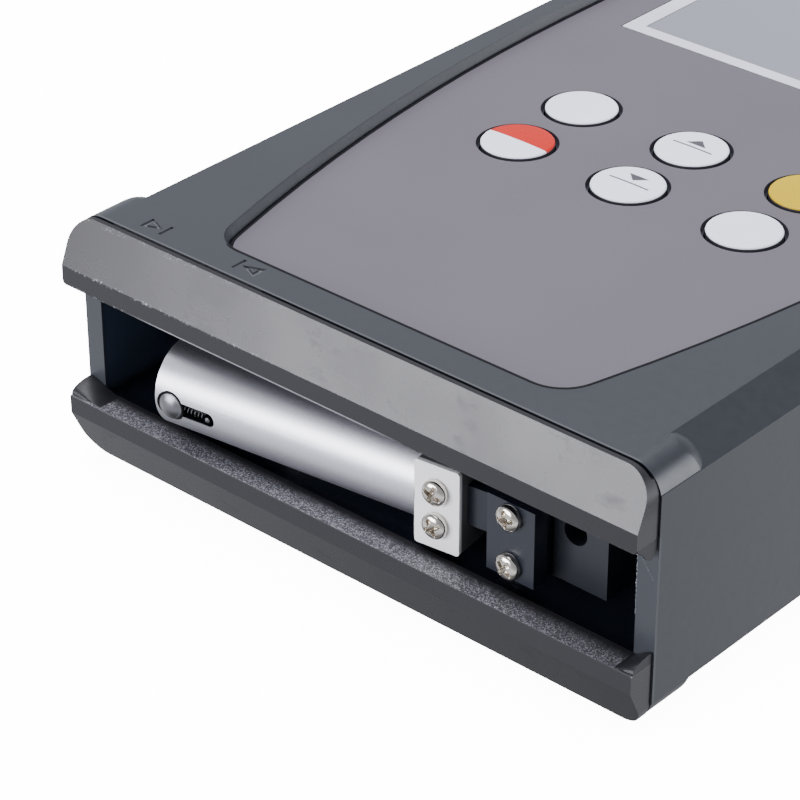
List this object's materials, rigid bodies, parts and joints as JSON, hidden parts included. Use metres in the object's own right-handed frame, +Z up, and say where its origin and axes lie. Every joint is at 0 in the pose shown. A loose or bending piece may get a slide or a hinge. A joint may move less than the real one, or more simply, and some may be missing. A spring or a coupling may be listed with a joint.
{
  "type": "surface roughness tester",
  "caption": "Pocket surface roughness tester: flat case with keys and display, and a sprung pickup tube that a carriage moves along an open bay between two measuring bars.",
  "frame": {"origin": "on the flat base, midway between the measuring feet and the rear face, on the mid plane", "axes": "+Z up to the display side, -Y towards the measuring end, +X to the right of the measuring end"},
  "size_m": [0.0794, 0.1299, 0.03],
  "materials": {
    "shell": "fine moulded texture, satin",
    "bar": "smooth black, semi gloss",
    "black_plastic": "glossy black",
    "overlay": "printed film, satin",
    "display_border": "white print",
    "display_glass": "clear window",
    "display_cell": "pale grey display",
    "key_white": "smooth",
    "key_red": "smooth, half red and half white",
    "key_yellow": "smooth",
    "board_green": "solder mask",
    "chip": "matt black",
    "zinc": "zinc plated",
    "nickel": "nickel plated",
    "ground_steel": "ground",
    "brass": "turned",
    "satin_aluminium": "satin turned",
    "white_aluminium": "bead blasted",
    "copper": "enamelled winding",
    "cell_jacket": "plain printed jacket"
  },
  "bodies": {
    "instrument": {"upper_housing": "shell", "lower_housing": "shell", "front_upper_bar": "bar", "front_lower_bar": "bar", "bay_tray": "black_plastic", "panel_overlay": "overlay", "lcd_frame": "display_border", "lcd_window": "display_glass", "lcd_module": "display_cell", "tact_switches": "black_plastic", "main_board": "board_green", "board_chips": "chip", "board_screws": "zinc", "buzzer": "black_plastic", "housing_screws": "zinc", "battery_cell_1": "cell_jacket", "battery_cell_2": "cell_jacket", "battery_cell_3": "cell_jacket", "battery_cell_4": "cell_jacket", "battery_springs": "nickel", "battery_plates": "nickel", "mech_frame": "zinc", "frame_screws": "nickel", "guide_rod_lower": "ground_steel", "guide_rod_upper": "ground_steel", "screw_bush_left": "brass", "screw_bush_right": "brass", "drive_motor": "zinc", "motor_gearbox": "zinc"},
    "traverse": {"carriage": "black_plastic", "carriage_nut": "brass", "rod_bushes": "brass", "bracket_plate": "black_plastic", "bracket_screws": "nickel", "pivot_pin": "ground_steel"},
    "drive_screw": {"lead_screw": "ground_steel"},
    "pickup": {"hinge_tongue": "black_plastic", "pickup_block": "white_aluminium", "block_screws": "nickel", "pickup_tube": "satin_aluminium", "pickup_coil": "copper", "skid": "ground_steel", "stylus_pivot": "ground_steel"},
    "stylus": {"stylus_arm": "ground_steel"},
    "door": {"battery_door": "shell"},
    "power_button": {"key_power": "key_red"},
    "down_button": {"key_down": "key_white"},
    "cutoff_button": {"key_cutoff": "key_white"},
    "calibrate_button": {"key_calibrate": "key_white"},
    "up_button": {"key_up": "key_white"},
    "start_button": {"key_start": "key_yellow"}
  },
  "joints": [
    {"name": "pickup_traverse", "type": "slide", "parent": "instrument", "child": "traverse", "axis": [1, 0, 0], "range_m": [-0.011, 0]},
    {"name": "lead_screw_spin", "type": "hinge", "parent": "instrument", "child": "drive_screw", "pos_m": [0, -0.0435, 0.0146], "axis": [1, 0, 0], "range_deg": [-1981, 0]},
    {"name": "pickup_swing", "type": "hinge", "parent": "traverse", "child": "pickup", "pos_m": [0.0216, -0.0549, 0.0145], "axis": [0, 0, 1], "range_deg": [-7, 0], "stiffness_Nm_per_rad": 0.05, "springref_deg": 3.44},
    {"name": "stylus_tilt", "type": "hinge", "parent": "pickup", "child": "stylus", "pos_m": [-0.00981, -0.05876, 0.0145], "axis": [0, 0, 1], "range_deg": [-1.5, 1.5], "stiffness_Nm_per_rad": 0.0005},
    {"name": "power_key_press", "type": "slide", "parent": "instrument", "child": "power_button", "axis": [0, 0, -1], "range_m": [0, 0.0004], "stiffness_N_per_m": 800, "springref_m": -0.0005},
    {"name": "down_key_press", "type": "slide", "parent": "instrument", "child": "down_button", "axis": [0, 0, -1], "range_m": [0, 0.0004], "stiffness_N_per_m": 800, "springref_m": -0.0005},
    {"name": "cutoff_key_press", "type": "slide", "parent": "instrument", "child": "cutoff_button", "axis": [0, 0, -1], "range_m": [0, 0.0004], "stiffness_N_per_m": 800, "springref_m": -0.0005},
    {"name": "calibrate_key_press", "type": "slide", "parent": "instrument", "child": "calibrate_button", "axis": [0, 0, -1], "range_m": [0, 0.0004], "stiffness_N_per_m": 800, "springref_m": -0.0005},
    {"name": "up_key_press", "type": "slide", "parent": "instrument", "child": "up_button", "axis": [0, 0, -1], "range_m": [0, 0.0004], "stiffness_N_per_m": 800, "springref_m": -0.0005},
    {"name": "start_key_press", "type": "slide", "parent": "instrument", "child": "start_button", "axis": [0, 0, -1], "range_m": [0, 0.0004], "stiffness_N_per_m": 800, "springref_m": -0.0005},
    {"name": "battery_door_slide", "type": "slide", "parent": "instrument", "child": "door", "axis": [0, 1, 0], "range_m": [0, 0.045]}
  ],
  "couplings": [
    {"joint": "lead_screw_spin", "follows": "pickup_traverse", "rad_per_m": 3141.6}
  ]
}
